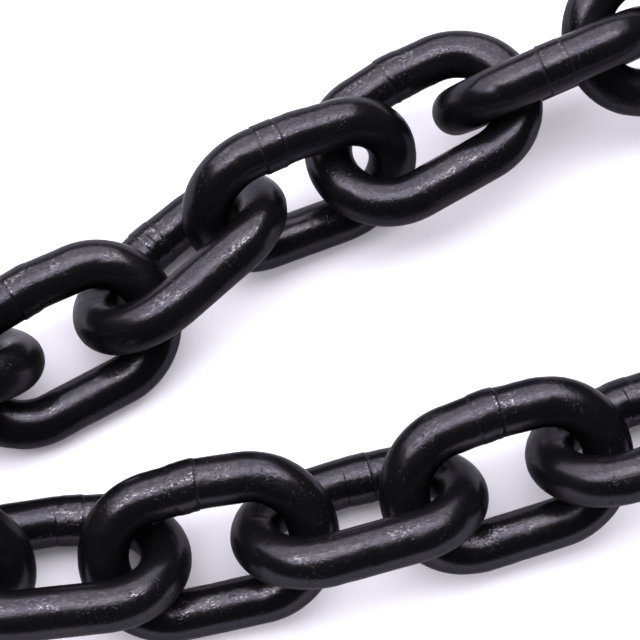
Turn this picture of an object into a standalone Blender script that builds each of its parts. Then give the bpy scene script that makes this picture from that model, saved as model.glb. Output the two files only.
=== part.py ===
"""One length of welded short-link iron chain, doubled back on itself and laid on a level floor."""

import math

import bpy
import numpy as np
from mathutils import Matrix, Vector

# One link, in metres
WIRE = 0.010
INNER_LENGTH = 0.0315
INNER_WIDTH = 0.0156
WELD_WIDTH = 0.0054
WELD_PEAK = 0.0006
WELD_SWELL = 0.0002
WELD_EDGE = 0.0004

# The smallest gap between one link's wire and the next
CLEARANCE = 0.0005

# Faces around the wire, and steps around each round end
WIRE_SIDES = 8
CROWN_STEPS = 6

HALF_LENGTH = (INNER_LENGTH + WIRE) / 2
HALF_WIDTH = (INNER_WIDTH + WIRE) / 2
STRAIGHT = HALF_LENGTH - HALF_WIDTH
HALF_FACE = math.pi / WIRE_SIDES
# The octagon of the wire has the area of the round wire
CORNER_RADIUS = WIRE / 2 * math.sqrt(math.pi / (WIRE_SIDES * math.sin(HALF_FACE) * math.cos(HALF_FACE)))

# How each link lies, set by eye: heading of the run, lean about it and rise along it in degrees,
# then lift off the floor, slack towards the link before and offset to the left in millimetres.
# Lean 0 is flat, and with a positive lean the welded side is the upper one.
START = (10, -55, -5, 0, 0, 0)
UPPER_RUN = (
    (30, 35, 0, 0, 0, -2),
    (44, -45, 0, 0, 0, 0),
    (24, 65, -5, 0, 0, -1),
    (30, -5, 5, 12, 0, 0),
    (22, 110, 10, 4, 0, -1),
    (18, 35, -5, 10, 0, 1),
    (18, -60, 0, 2, 0, 0),
    (15, 35, -10, 2, 0, 1),
    (5, -45, 0, 0, 1, 1),
    (-5, 45, 0, 0, 0, 0),
    (-10, -45, 0, 0, 0, 0),
    (-5, 45, 0, 0, 0, 0),
    (0, -60, 0, 0, 1, 0),
    (0, 0, -18, 0, 0, 2),
)
BEND = (
    (-170, -35, 5, 4, 0, 1),
    (-175, 60, 0, 0, 0, 0),
    (-100, -65, 5, 8, 0, 3),
    (0, 60, 5, 0, 0, 4),
    (-10, -50, 0, 0, 1, 0),
)
LOWER_RUN = (
    (6, 50, 0, 0, 0, 0),
    (8, -35, -5, 0, 0, -1),
    (12, 35, 5, 0, 0, -1),
    (17, -45, -3, 0, 0, -1),
    (18, 35, 3, 2, 0, -1),
    (22, -45, -3, 1, 0, -1),
    (15, 45, 0, 0, 0, 0),
    (8, -45, 0, 0, 0, 0),
    (2, 45, 0, 0, 0, 0),
    (-5, -45, 0, 0, 0, 0),
    (-5, 45, 0, 0, 0, 0),
    (0, -60, 0, 0, 1, 0),
    (0, 0, -18, 0, 0, 2),
)
FURTHEST_REACH = 0.017
SEARCH_STEP = 0.0002
HALVINGS = 4
LINE_DIVISIONS = 6

BLACK_STEEL = (0.018, 0.018, 0.021, 1)


def link_outline():
    """(along, across, wire radius factor) around a link: a round end, the welded side, the other round end."""
    rows = []
    for step in range(CROWN_STEPS + 1):
        angle = math.pi * (step / CROWN_STEPS - 0.5)
        rows.append((STRAIGHT + HALF_WIDTH * math.cos(angle), HALF_WIDTH * math.sin(angle), 1))
    swollen = 1 + WELD_SWELL / (WIRE / 2)
    half = WELD_WIDTH / 2
    for along, factor in (
        (half + WELD_EDGE, 1),
        (half, swollen),
        (0, swollen),
        (-half, swollen),
        (-half - WELD_EDGE, 1),
    ):
        across = HALF_WIDTH + WELD_PEAK * (1 - abs(along) / STRAIGHT)
        rows.append((along, across, factor))
    for step in range(CROWN_STEPS + 1):
        angle = math.pi * (step / CROWN_STEPS + 0.5)
        rows.append((-STRAIGHT + HALF_WIDTH * math.cos(angle), HALF_WIDTH * math.sin(angle), 1))
    return rows


def link_curve(outline):
    """The closed wire of a link as a bevelled curve, turned so that its flats lie along and across the link."""
    curve = bpy.data.curves.new("link", "CURVE")
    curve.dimensions = "3D"
    curve.twist_mode = "Z_UP"
    curve.bevel_depth = CORNER_RADIUS
    curve.bevel_resolution = WIRE_SIDES // 2 - 2
    spline = curve.splines.new("POLY")
    spline.points.add(len(outline) - 1)
    for point, (along, across, factor) in zip(spline.points, outline):
        point.co = (along, across, 0, 1)
        point.radius = factor
        point.tilt = HALF_FACE
    spline.use_cyclic_u = True
    return curve


def surface_of(curve):
    """The corners of the link's faces, as an array in the link's own frame."""
    probe = bpy.data.objects.new("probe", curve)
    mesh = bpy.data.meshes.new_from_object(probe)
    corners = np.array([tuple(vertex.co) for vertex in mesh.vertices])
    bpy.data.meshes.remove(mesh)
    bpy.data.objects.remove(probe)
    return corners


def line_of(outline):
    """Close-set points along the middle of the wire."""
    knots = np.array([(along, across, 0) for along, across, _ in outline])
    ahead = np.roll(knots, -1, axis=0)
    shares = np.arange(LINE_DIVISIONS) / LINE_DIVISIONS
    return np.concatenate([knots * (1 - share) + ahead * share for share in shares])


def turned(points, turn):
    return points @ np.array(turn).T


def wire_gap(line, other):
    """Distance between the surfaces of two round wires that follow these lines."""
    apart = np.linalg.norm(line[:, None] - other[None], axis=2)
    return apart.min() - WIRE


class Lay:
    """A link's place: its turn, its centre and the middle line of its wire."""

    def __init__(self, line, turn, centre):
        self.turn = turn
        self.centre = centre
        self.line = turned(line, turn) + centre


def turn_of(heading, lean, rise):
    return (
        Matrix.Rotation(math.radians(heading), 3, "Z")
        @ Matrix.Rotation(math.radians(-rise), 3, "Y")
        @ Matrix.Rotation(math.radians(lean), 3, "X")
    )


def level_direction(heading):
    return np.array([math.cos(math.radians(heading)), math.sin(math.radians(heading)), 0])


def next_lay(before, heading_before, row, line, surface):
    """Draws a link along its heading until its wire meets the wire of the link before it."""
    heading, lean, rise, lift, slack, offset = row
    turn = turn_of(heading, lean, rise)
    ahead = level_direction(heading)
    left = level_direction(heading + 90)
    height = lift / 1000 - turned(surface, turn)[:, 2].min()
    hinge = before.centre + level_direction(heading_before) * INNER_LENGTH / 2
    hinge[2] = height
    hinge += left * offset / 1000

    def clear(reach):
        return wire_gap(before.line, turned(line, turn) + hinge + ahead * reach) >= CLEARANCE

    free = FURTHEST_REACH
    while not clear(free):
        free -= SEARCH_STEP
    blocked = free + SEARCH_STEP
    for _ in range(HALVINGS):
        middle = (free + blocked) / 2
        if clear(middle):
            free = middle
        else:
            blocked = middle
    return Lay(line, turn, hinge + ahead * (free - slack / 1000))


def laid_run(first, first_heading, rows, line, surface):
    lays = []
    before = first
    heading = first_heading
    for row in rows:
        before = next_lay(before, heading, row, line, surface)
        heading = row[0]
        lays.append(before)
    return lays


def laid_chain(line, surface):
    """Every link in its order along the chain, lower free end first, over the middle of its own footprint."""
    turn = turn_of(*START[:3])
    height = -turned(surface, turn)[:, 2].min()
    start = Lay(line, turn, np.array([0, 0, height]))
    upper = laid_run(start, START[0], UPPER_RUN, line, surface)
    lower = laid_run(start, START[0] + 180, BEND + LOWER_RUN, line, surface)
    chain = lower[::-1] + [start] + upper
    corners = np.concatenate([turned(surface, lay.turn) + lay.centre for lay in chain])
    middle = (corners.min(axis=0) + corners.max(axis=0)) / 2
    middle[2] = corners[:, 2].min()
    for lay in chain:
        lay.centre = lay.centre - middle
    return chain


def black_steel():
    material = bpy.data.materials.new("black_steel")
    material.use_nodes = True
    shader = material.node_tree.nodes["Principled BSDF"]
    shader.inputs["Base Color"].default_value = BLACK_STEEL
    shader.inputs["Roughness"].default_value = 0.42
    shader.inputs["Metallic"].default_value = 0.6
    return material


def build():
    for obj in list(bpy.data.objects):
        bpy.data.objects.remove(obj)
    collection = bpy.data.collections.new("iron_chain")
    bpy.context.scene.collection.children.link(collection)
    outline = link_outline()
    curve = link_curve(outline)
    curve.materials.append(black_steel())
    chain = laid_chain(line_of(outline), surface_of(curve))
    for number, lay in enumerate(chain, start=1):
        link = bpy.data.objects.new(f"link_{number:02d}", curve)
        link.matrix_world = Matrix.Translation(Vector(lay.centre)) @ lay.turn.to_4x4()
        collection.objects.link(link)


build()
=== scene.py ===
import math

import bpy
import numpy as np
from mathutils import Matrix, Vector


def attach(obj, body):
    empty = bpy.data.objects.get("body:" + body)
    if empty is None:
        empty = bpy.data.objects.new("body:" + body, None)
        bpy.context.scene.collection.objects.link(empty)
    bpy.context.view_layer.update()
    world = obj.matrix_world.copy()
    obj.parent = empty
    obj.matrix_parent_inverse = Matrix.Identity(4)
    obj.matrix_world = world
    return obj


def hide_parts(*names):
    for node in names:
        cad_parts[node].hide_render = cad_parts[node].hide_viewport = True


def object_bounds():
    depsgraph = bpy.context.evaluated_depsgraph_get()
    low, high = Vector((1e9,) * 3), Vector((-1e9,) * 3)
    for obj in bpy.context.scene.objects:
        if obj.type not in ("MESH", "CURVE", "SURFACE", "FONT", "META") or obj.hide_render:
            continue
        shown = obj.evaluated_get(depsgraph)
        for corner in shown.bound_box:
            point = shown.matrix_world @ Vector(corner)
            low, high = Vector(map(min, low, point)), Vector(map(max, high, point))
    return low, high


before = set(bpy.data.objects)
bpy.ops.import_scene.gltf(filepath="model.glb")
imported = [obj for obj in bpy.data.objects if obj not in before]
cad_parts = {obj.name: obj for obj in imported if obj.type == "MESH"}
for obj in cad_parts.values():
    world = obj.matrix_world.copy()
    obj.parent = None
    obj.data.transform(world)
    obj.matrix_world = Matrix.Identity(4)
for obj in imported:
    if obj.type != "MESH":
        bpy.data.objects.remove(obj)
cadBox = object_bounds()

# What the photograph's camera sees: the point on the floor it looks at, and from where
photoView = {
    "target": (-0.0789, -0.0123, 0.0),
    "elevation": 70.5,  # degrees above the floor
    "distance": 0.42,
    "lens": 112.7,
    "roll": 0.6,  # degrees, the picture turned clockwise
}

# One link of the chain, in metres; the wire runs down the middle of the bar
linkShape = {
    "halfStraight": 0.00795,
    "crownRadius": 0.0128,
    "barRadius": 0.0050,
    "rings": 240,
    "sides": 44,
}

weldBand = {
    "width": 0.0046,
    "rise": 0.00016,
    "kink": 0.0006,
    "creaseDepth": 0.00012,
    "ridge": 0.00008,
    "burr": 0.00022,
}

barRelief = {
    "unevenness": 0.00010,
    "ripple": 0.00002,
    "dents": 0.0009,
}


# A node's output that Python arithmetic can be done on
class Signal:
    def __init__(self, board, socket):
        self.board = board
        self.socket = socket

    def __add__(self, other):
        return self.board.maths("ADD", self, other)

    def __radd__(self, other):
        return self.board.maths("ADD", other, self)

    def __sub__(self, other):
        return self.board.maths("SUBTRACT", self, other)

    def __rsub__(self, other):
        return self.board.maths("SUBTRACT", other, self)

    def __mul__(self, other):
        return self.board.maths("MULTIPLY", self, other)

    def __rmul__(self, other):
        return self.board.maths("MULTIPLY", other, self)

    def __truediv__(self, other):
        return self.board.maths("DIVIDE", self, other)

    def __abs__(self):
        return self.board.maths("ABSOLUTE", self)

    def output(self, name):
        return Signal(self.board, self.socket.node.outputs[name])


# Adds nodes to a tree and wires up their sockets
class NodeBoard:
    def __init__(self, tree):
        self.tree = tree
        tree.nodes.clear()

    def add(self, kind, settings=None, sockets=None, output=0):
        node = self.tree.nodes.new(kind)
        for name, value in (settings or {}).items():
            setattr(node, name, value)
        for name, value in (sockets or {}).items():
            if isinstance(value, Signal):
                self.tree.links.new(value.socket, node.inputs[name])
            else:
                node.inputs[name].default_value = value
        return Signal(self, node.outputs[output]) if node.outputs else node

    def maths(self, operation, *values):
        return self.add("ShaderNodeMath", {"operation": operation}, dict(enumerate(values)))

    def vectorMaths(self, operation, *values, output=0, scale=1.0):
        sockets = dict(enumerate(values))
        if operation == "SCALE":
            sockets["Scale"] = scale
        return self.add("ShaderNodeVectorMath", {"operation": operation}, sockets, output)

    # 0 below low, 1 above high, smooth between
    def ease(self, value, low, high):
        return self.add(
            "ShaderNodeMapRange",
            {"interpolation_type": "SMOOTHSTEP"},
            {"Value": value, "From Min": low, "From Max": high},
        )

    def noise(self, where, scale, detail=2.0, seed=0.0, roughness=0.5):
        return self.add(
            "ShaderNodeTexNoise",
            {"noise_dimensions": "4D"},
            {"Vector": where, "W": seed, "Scale": scale, "Detail": detail, "Roughness": roughness},
        )

    def blend(self, factor, first, second):
        return self.add(
            "ShaderNodeMix", {"data_type": "RGBA"}, {0: factor, 6: first, 7: second}, output=2
        )


def buildLinkTree():
    tree = bpy.data.node_groups.new("weldedLink", "GeometryNodeTree")
    interface = tree.interface
    for name, kind in (
        ("Half straight", "NodeSocketFloat"),
        ("Crown radius", "NodeSocketFloat"),
        ("Bar radius", "NodeSocketFloat"),
        ("Weld width", "NodeSocketFloat"),
        ("Weld rise", "NodeSocketFloat"),
        ("Weld kink", "NodeSocketFloat"),
        ("Crease depth", "NodeSocketFloat"),
        ("Ridge", "NodeSocketFloat"),
        ("Burr", "NodeSocketFloat"),
        ("Unevenness", "NodeSocketFloat"),
        ("Ripple", "NodeSocketFloat"),
        ("Dents", "NodeSocketFloat"),
        ("Left edge", "NodeSocketFloat"),
        ("Right edge", "NodeSocketFloat"),
        ("Weld shift", "NodeSocketFloat"),
        ("Seed", "NodeSocketFloat"),
        ("Rings", "NodeSocketInt"),
        ("Sides", "NodeSocketInt"),
        ("Finish", "NodeSocketMaterial"),
    ):
        interface.new_socket(name, in_out="INPUT", socket_type=kind)
    interface.new_socket("Link", in_out="OUTPUT", socket_type="NodeSocketGeometry")
    board = NodeBoard(tree)
    given = board.add("NodeGroupInput")
    halfStraight, crownRadius = given.output("Half straight"), given.output("Crown radius")

    # place along the wire, closer set near the weld, which is at 0
    turn = board.add("GeometryNodeInputIndex") / given.output("Rings") * 2 - 1
    along = (halfStraight * 2 + crownRadius * math.pi) * (turn * 0.5 + turn * turn * turn * 0.5)
    away = abs(along)
    bend = board.maths("MAXIMUM", (away - halfStraight) / crownRadius, 0.0)
    bend = board.maths("MINIMUM", bend, math.pi)
    side = board.maths("SIGN", turn)
    back = board.maths("MAXIMUM", away - halfStraight - crownRadius * math.pi, 0.0)
    reach = board.maths("MINIMUM", away, halfStraight) + crownRadius * board.maths("SINE", bend)
    x = (reach - back) * side
    kink = given.output("Weld kink") * board.maths("MAXIMUM", 1 - away / halfStraight, 0.0)
    y = crownRadius * board.maths("COSINE", bend) + kink
    centre = board.add("ShaderNodeCombineXYZ", sockets={"X": x, "Y": y})
    outward = board.add(
        "ShaderNodeCombineXYZ",
        sockets={"X": board.maths("SINE", bend) * side, "Y": board.maths("COSINE", bend)},
    )

    line = board.add("GeometryNodeCurvePrimitiveLine", {"mode": "POINTS"}, {"End": (1, 0, 0)})
    path = board.add(
        "GeometryNodeResampleCurve", {"mode": "COUNT"}, {"Curve": line, "Count": given.output("Rings")}
    )
    path = board.add("GeometryNodeSetPosition", sockets={"Geometry": path, "Position": centre})
    path = board.add("GeometryNodeSetSplineCyclic", sockets={"Geometry": path, "Cyclic": True})
    path = board.add("GeometryNodeSetCurveNormal", {"mode": "Z_UP"}, {"Curve": path})
    for name, kind, value in (
        ("core", "FLOAT_VECTOR", centre),
        ("outward", "FLOAT_VECTOR", outward),
        ("along", "FLOAT", along),
    ):
        path = board.add(
            "GeometryNodeStoreNamedAttribute",
            {"data_type": kind, "domain": "POINT"},
            {"Geometry": path, "Name": name, "Value": value},
        )
    profile = board.add(
        "GeometryNodeCurvePrimitiveCircle",
        {"mode": "RADIUS"},
        {"Resolution": given.output("Sides"), "Radius": given.output("Bar radius")},
    )
    bar = board.add("GeometryNodeCurveToMesh", sockets={"Curve": path, "Profile Curve": profile})

    # read back on the bar's own points
    where = board.add("GeometryNodeInputPosition")
    core = board.add("GeometryNodeInputNamedAttribute", {"data_type": "FLOAT_VECTOR"}, {"Name": "core"})
    outward = board.add(
        "GeometryNodeInputNamedAttribute", {"data_type": "FLOAT_VECTOR"}, {"Name": "outward"}
    )
    along = board.add("GeometryNodeInputNamedAttribute", {"data_type": "FLOAT"}, {"Name": "along"})
    radial = board.vectorMaths("NORMALIZE", board.vectorMaths("SUBTRACT", where, core))
    outside = board.vectorMaths("DOT_PRODUCT", radial, outward, output="Value")
    seed = given.output("Seed")

    # the bar unrolled: along it, then two ways across it, so that the finish can run with the bar
    height = board.add("ShaderNodeSeparateXYZ", sockets={"Vector": radial}).output("Z")
    unrolled = board.add("ShaderNodeCombineXYZ", sockets={
        "X": along + seed * 0.05,
        "Y": outside * given.output("Bar radius"),
        "Z": height * given.output("Bar radius"),
    })

    # the upset band of the weld, each edge as crisp as its own input says; in metres
    edgeWander = 0.0008
    softEdge, crispSaving = 0.0016, 0.0012
    creasePlace, creaseHalf = 0.0002, 0.00026
    ridgeBack, ridgeHalf = 0.00045, 0.0004
    fromWeld = along - given.output("Weld shift")
    wander = (board.noise(where, 380, 3, seed) - 0.5) * edgeWander
    band, crease, ridge = 1.0, 0.0, 0.0
    for name, direction in (("Left edge", -1), ("Right edge", 1)):
        crisp = given.output(name)
        beyond = fromWeld * direction + wander - given.output("Weld width") / 2
        fall = beyond / (softEdge - crisp * crispSaving) + 0.5
        band = band * (1 - board.maths("MAXIMUM", board.maths("MINIMUM", fall, 1.0), 0.0))
        crease = crease + board.maths("MAXIMUM", 1 - abs(beyond - creasePlace) / creaseHalf, 0.0) * crisp
        ridge = ridge + board.maths("MAXIMUM", 1 - abs(beyond + ridgeBack) / ridgeHalf, 0.0) * crisp
    broken = board.ease(board.noise(where, 620, 2, seed + 5), 0.36, 0.56)
    crease = crease * (0.35 + broken * 0.65)
    ridge = ridge * broken
    edge = given.output("Weld width") / 2
    nearWeld = 1 - board.ease(abs(fromWeld), edge, edge * 1.9)
    inside = board.ease(outside * -1, 0.45, 0.95)
    burr = nearWeld * inside * (board.noise(where, 1100, 3, seed + 3) - 0.35) * given.output("Burr") * 2
    lift = (
        band * given.output("Weld rise") * (0.6 + board.noise(where, 260, 1, seed + 8) * 0.8)
        - crease * given.output("Crease depth")
        + ridge * given.output("Ridge")
        + burr
        + (board.noise(where, 95, 1, seed + 11) - 0.5) * given.output("Unevenness") * 2
        + (board.noise(where, 520, 2, seed + 17) - 0.5) * given.output("Ripple") * 2
        - board.maths("MAXIMUM", board.noise(where, 190, 1, seed + 23) - 0.6, 0.0) * given.output("Dents")
    )
    bar = board.add(
        "GeometryNodeSetPosition",
        sockets={"Geometry": bar, "Offset": board.vectorMaths("MULTIPLY", radial, lift)},
    )
    for name, kind, value in (
        ("crease", "FLOAT", crease),
        ("ridge", "FLOAT", ridge),
        ("unrolled", "FLOAT_VECTOR", unrolled),
    ):
        bar = board.add(
            "GeometryNodeStoreNamedAttribute",
            {"data_type": kind, "domain": "POINT"},
            {"Geometry": bar, "Name": name, "Value": value},
        )
    for name in ("core", "outward", "along"):
        bar = board.add("GeometryNodeRemoveAttribute", sockets={"Geometry": bar, "Name": name})
    bar = board.add("GeometryNodeSetShadeSmooth", sockets={"Geometry": bar})
    bar = board.add("GeometryNodeRealizeInstances", sockets={"Geometry": bar})
    bar = board.add(
        "GeometryNodeSetMaterial", sockets={"Geometry": bar, "Material": given.output("Finish")}
    )
    board.add("NodeGroupOutput", sockets={"Link": bar})
    return tree


# One link as a plain mesh about its own centre
def linkMesh(tree, values):
    maker = bpy.data.objects.new("linkMaker", bpy.data.meshes.new("linkMaker"))
    bpy.context.scene.collection.objects.link(maker)
    modifier = maker.modifiers.new("link", "NODES")
    modifier.node_group = tree
    for item in tree.interface.items_tree:
        if item.in_out == "INPUT" and item.name in values:
            modifier[item.identifier] = values[item.name]
    evaluated = maker.evaluated_get(bpy.context.evaluated_depsgraph_get())
    mesh = bpy.data.meshes.new_from_object(evaluated)
    bpy.data.objects.remove(maker)
    return mesh


# Where a CAD link lies: its length along X, its welded side towards +Y.
# The axes are those of the spread of its surface
def linkPlace(node):
    mesh = node.data
    mesh.calc_loop_triangles()
    points = np.array([vertex.co for vertex in mesh.vertices])
    corners = points[np.array([triangle.vertices[:] for triangle in mesh.loop_triangles])]
    spans = np.cross(corners[:, 1] - corners[:, 0], corners[:, 2] - corners[:, 0])
    areas = np.linalg.norm(spans, axis=1)
    middle = (corners.mean(axis=1) * areas[:, None]).sum(axis=0) / areas.sum()
    spread = np.zeros((3, 3))
    for first, second in ((0, 0), (1, 1), (2, 2), (0, 1), (1, 2), (2, 0)):
        arms = (corners[:, first] + corners[:, second]) / 2 - middle
        spread += np.einsum("n,ni,nj->ij", areas, arms, arms)
    axes = np.linalg.eigh(spread)[1]
    lengthwise, across = axes[:, 2], axes[:, 1]
    if lengthwise[0] < 0:
        lengthwise = -lengthwise
    reach = (points - middle) @ across
    if -reach.min() > reach.max():
        across, reach = -across, -reach
    lengths = (points - middle) @ lengthwise
    centre = (
        middle
        + lengthwise * (lengths.max() + lengths.min()) / 2
        + across * (reach.min() + linkShape["crownRadius"] + linkShape["barRadius"])
    )
    matrix = Matrix.Identity(4)
    for column, axis in enumerate((lengthwise, across, np.cross(lengthwise, across), centre)):
        for row in range(3):
            matrix[row][column] = axis[row]
    return matrix


blackFinish = {
    "blueBlack": (0.0212, 0.0203, 0.0250, 1),
    "brownBlack": (0.0254, 0.0240, 0.0270, 1),
    "bareIron": (0.36, 0.355, 0.365, 1),
    "faintRust": (0.36, 0.27, 0.24, 1),
    # painted shade: the near-black that the bar's lower sides are blended towards
    "paintedShadeBlack": (0.003, 0.003, 0.004, 1),
    "paintedShade": 0.5,  # how far the painted shade on the lower sides goes towards it
    "metallic": 0.935,
    "edgeTint": (0.55, 0.55, 0.55, 1),  # how much of the glancing reflection is left
    "roughness": 0.24,
    "lowerRoughness": 0.20,  # added on the lower sides
    "grainSize": 0.00030,
    "alongBar": 0.45,  # grain and scratches are drawn out along the bar by this
    "scratchNet": 330.0,
    "scratchBend": 0.0035,
    "mostWear": 0.42,
    "bumpStrength": 0.25,
    "bumpDepth": 0.00020,
}


def blackSteel():
    material = bpy.data.materials.new("blackenedIron")
    material.use_nodes = True
    board = NodeBoard(material.node_tree)
    where = board.add("ShaderNodeTexCoord").output("Object")
    crease = board.add("ShaderNodeAttribute", {"attribute_name": "crease"}).output("Fac")
    ridge = board.add("ShaderNodeAttribute", {"attribute_name": "ridge"}).output("Fac")
    unrolled = board.add("ShaderNodeAttribute", {"attribute_name": "unrolled"}).output("Vector")
    level = board.add("ShaderNodeAttribute", {"attribute_name": "level"}).output("Fac")
    upper = board.ease(level, 0.82, 0.96)  # the finish is rubbed where the bar faces up
    brushed = board.vectorMaths("MULTIPLY", unrolled, (blackFinish["alongBar"], 1, 1))
    patches = board.noise(where, 150, 3, 1.0)
    grain = board.noise(brushed, 1 / blackFinish["grainSize"], 3, 5.0, 0.65)
    coarse = board.noise(where, 700, 3, 9.0)
    # where the finish is thin
    rubbed = board.ease(board.noise(brushed, 260, 4, 13.0, 0.62), 0.49, 0.65)

    # short scratches: pieces of a fine net of edges, drawn out along the bar and bent by noise
    bent = board.noise(unrolled, 260, 2, 40.0).output("Color")
    bent = board.vectorMaths("SCALE", bent, scale=blackFinish["scratchBend"])
    bent = board.vectorMaths("ADD", brushed, bent)
    net = board.add(
        "ShaderNodeTexVoronoi",
        {"feature": "DISTANCE_TO_EDGE"},
        {"Vector": bent, "Scale": blackFinish["scratchNet"]},
    )
    scratch = (1 - board.ease(net, 0.0, 0.035)) * board.ease(board.noise(where, 430, 1, 17.0), 0.56, 0.62)

    # wear: bare grains, scratches and the weld's ridges, none of it in creases and pits
    sand = board.ease(grain, 0.48, 0.62)
    pits = board.ease(board.noise(where, 1500, 1, 51.0), 0.60, 0.68)
    pits = pits * board.ease(board.noise(where, 170, 2, 57.0), 0.50, 0.62)
    rub = sand * (0.10 + rubbed * 0.27) + scratch * (0.03 + rubbed * 0.34) + ridge * sand * 0.50
    rub = board.maths("MINIMUM", rub * (1 - crease) * (1 - pits), blackFinish["mostWear"])
    wear = rub * (0.30 + rub * 1.3) * (0.04 + upper * 0.96)

    brownish = board.ease(patches, 0.42, 0.64)
    colour = board.blend(brownish, blackFinish["blueBlack"], blackFinish["brownBlack"])
    rusty = board.ease(board.noise(where, 110, 2, 63.0), 0.62, 0.72)
    worn = board.blend(rusty, blackFinish["bareIron"], blackFinish["faintRust"])
    colour = board.blend(wear, colour, worn)
    under = 1 - board.ease(level, 0.05, 0.75)  # painted shade on the bar's lower sides: their colour darker, and their finish duller
    # painted shade: the colour of the lower sides is blended towards near-black
    colour = board.blend(under * blackFinish["paintedShade"], colour, blackFinish["paintedShadeBlack"])
    roughness = blackFinish["roughness"] + (coarse - 0.5) * 0.10 - rub * 0.35 + crease * 0.4 + pits * 0.3
    roughness = roughness + under * blackFinish["lowerRoughness"]

    relief = grain * 0.80 + coarse * 1.3 + board.noise(where, 330, 2, 31.0) - pits * 1.6
    relief = relief * (0.3 + upper * 0.7)
    bump = board.add(
        "ShaderNodeBump",
        sockets={
            "Strength": blackFinish["bumpStrength"],
            "Distance": blackFinish["bumpDepth"],
            "Height": relief,
        },
    )
    shader = board.add(
        "ShaderNodeBsdfPrincipled",
        sockets={
            "Base Color": colour,
            "Metallic": blackFinish["metallic"],
            "Specular Tint": blackFinish["edgeTint"],
            "Roughness": roughness,
            "Normal": bump,
        },
    )
    board.add("ShaderNodeOutputMaterial", sockets={"Surface": shader})
    return material


# Welds: how crisp the left and the right edge show, 0 to 1, and metres from the middle of the side.
# First the links read from the photograph, then what the others take in turn
weldEdges = {
    "link_08": (0.0, 0.3, 0.0),
    "link_09": (0.6, 0.8, -0.0008),
    "link_10": (0.0, 0.9, 0.0034),
    "link_11": (0.25, 1.0, -0.0017),
    "link_12": (0.1, 0.6, 0.0034),
    "link_20": (0.7, 0.1, -0.0021),
    "link_21": (0.8, 0.8, 0.0),
    "link_22": (0.9, 0.8, -0.0056),
    "link_23": (0.8, 0.1, 0.0008),
    "link_24": (0.9, 0.7, 0.0),
}
usualEdges = ((0.3, 0.8, 0.0009), (0.8, 0.2, -0.0012), (0.5, 0.6, 0.0004))


def makeLinks():
    tree = buildLinkTree()
    finish = blackSteel()
    names = sorted(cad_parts)
    for number, name in enumerate(names):
        edges = weldEdges.get(name, usualEdges[number % len(usualEdges)])
        values = {
            "Half straight": linkShape["halfStraight"],
            "Crown radius": linkShape["crownRadius"],
            "Bar radius": linkShape["barRadius"],
            "Rings": linkShape["rings"],
            "Sides": linkShape["sides"],
            "Weld width": weldBand["width"],
            "Weld rise": weldBand["rise"],
            "Weld kink": weldBand["kink"],
            "Crease depth": weldBand["creaseDepth"],
            "Ridge": weldBand["ridge"],
            "Burr": weldBand["burr"],
            "Unevenness": barRelief["unevenness"],
            "Ripple": barRelief["ripple"],
            "Dents": barRelief["dents"],
            "Left edge": edges[0],
            "Right edge": edges[1],
            "Weld shift": edges[2],
            "Seed": number * 2.7,
            "Finish": finish,
        }
        mesh = linkMesh(tree, values)
        mesh.transform(linkPlace(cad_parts[name]))
        points = np.array([vertex.co for vertex in mesh.vertices])
        # kept inside the CAD box, so that a link rests on the floor, not in it
        points = np.clip(points, cadBox[0], cadBox[1])
        mesh.vertices.foreach_set("co", points.ravel())
        level = mesh.attributes.new("level", "FLOAT", "POINT")
        level.data.foreach_set("value", [vertex.normal.z for vertex in mesh.vertices])
        link = bpy.data.objects.new(name.replace("link", "ironLink"), mesh)
        bpy.context.scene.collection.objects.link(link)
        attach(link, "root")
        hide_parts(name)
    print("links:", len(names))


studio = {
    "floorColour": (0.46, 0.45, 0.485, 1),
    "floorRoughness": 0.75,
    "floorSide": 7.0,
    "boxSize": (1.25, 1.0),
    "boxTilt": 33,  # degrees from straight overhead, towards the back
    "boxSwing": 23,  # degrees towards the left
    "boxDistance": 0.62,
    "boxPower": 15.2,
    "stripDepth": 0.40,  # the brighter strip along the box's front edge
    "stripPower": 6.8,
    "stripAhead": 0.01,
    "lightColour": (1.0, 0.98, 1.04),
    "roomColour": (0.97, 0.96, 1.0, 1),
    "roomGlow": 2.25,
}


# A soft light that shows in reflections but not to the camera
def addLight(name, size, power, place, turn):
    light = bpy.data.lights.new(name, "AREA")
    light.shape = "RECTANGLE"
    light.size, light.size_y = size
    light.energy = power
    light.color = studio["lightColour"]
    lamp = bpy.data.objects.new(name, light)
    lamp.visible_camera = False
    lamp.location = place
    lamp.rotation_euler = turn.to_euler()
    bpy.context.scene.collection.objects.link(lamp)


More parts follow.
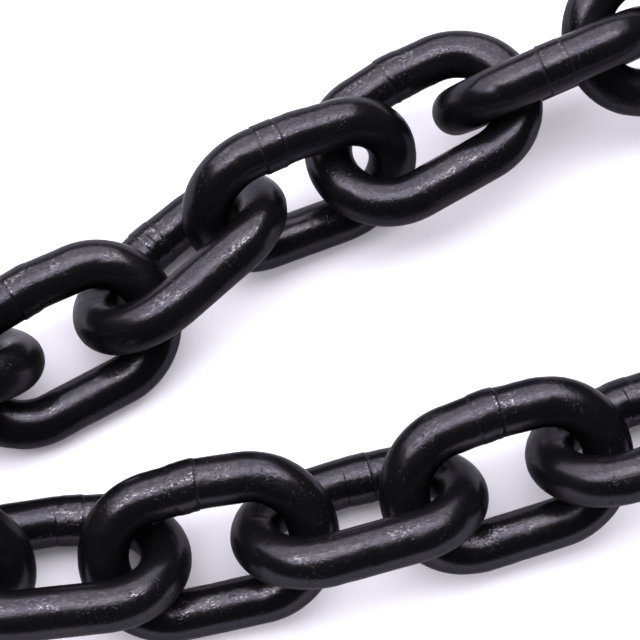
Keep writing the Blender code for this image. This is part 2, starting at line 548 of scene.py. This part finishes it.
def makeStudio():
    half = studio["floorSide"] / 2
    mesh = bpy.data.meshes.new("studioFloor")
    mesh.from_pydata(
        [(-half, -half, 0), (half, -half, 0), (half, half, 0), (-half, half, 0)], [], [(0, 1, 2, 3)]
    )
    floor = bpy.data.objects.new("studioFloor", mesh)
    bpy.context.scene.collection.objects.link(floor)
    paper = bpy.data.materials.new("paleFloor")
    paper.use_nodes = True
    board = NodeBoard(paper.node_tree)
    shader = board.add(
        "ShaderNodeBsdfPrincipled",
        sockets={"Base Color": studio["floorColour"], "Roughness": studio["floorRoughness"]},
    )
    board.add("ShaderNodeOutputMaterial", sockets={"Surface": shader})
    mesh.materials.append(paper)

    tilt, swing = math.radians(studio["boxTilt"]), math.radians(studio["boxSwing"])
    towards = Vector(
        (-math.sin(tilt) * math.sin(swing), math.sin(tilt) * math.cos(swing), math.cos(tilt))
    )
    middle = Vector(photoView["target"]) + towards * studio["boxDistance"]
    turn = (-towards).to_track_quat("-Z", "Y")
    width, depth = studio["boxSize"]
    addLight("softBox", (width, depth), studio["boxPower"], middle, turn)
    front = turn @ Vector((0, (depth - studio["stripDepth"]) / 2, -studio["stripAhead"]))
    addLight("brightStrip", (width, studio["stripDepth"]), studio["stripPower"], middle + front, turn)

    world = bpy.data.worlds.new("studio")
    world.use_nodes = True
    board = NodeBoard(world.node_tree)
    glow = board.add(
        "ShaderNodeBackground",
        sockets={"Color": studio["roomColour"], "Strength": studio["roomGlow"]},
    )
    board.add("ShaderNodeOutputWorld", sockets={"Surface": glow})
    world.cycles_visibility.glossy = False  # it fills the shadows and leaves the reflections dark
    bpy.context.scene.world = world
    bpy.context.scene.view_settings.view_transform = "Standard"
    print("studio: floor, soft box with a bright strip, room glow")


def makeCamera():
    camera = bpy.data.objects.new("photoCamera", bpy.data.cameras.new("photoCamera"))
    bpy.context.scene.collection.objects.link(camera)
    rise = math.radians(photoView["elevation"])
    back = Vector((0, -math.cos(rise), math.sin(rise)))
    camera.location = Vector(photoView["target"]) + back * photoView["distance"]
    level = (-back).to_track_quat("-Z", "Y").to_matrix()
    roll = Matrix.Rotation(math.radians(photoView["roll"]), 3, "Z")
    camera.rotation_euler = (level @ roll).to_euler()
    camera.data.lens = photoView["lens"]
    camera.data.sensor_width = 36
    camera.data.clip_start = 0.01
    bpy.context.scene.camera = camera
    print("camera:", tuple(round(value, 4) for value in camera.location))


makeCamera()
makeStudio()
makeLinks()
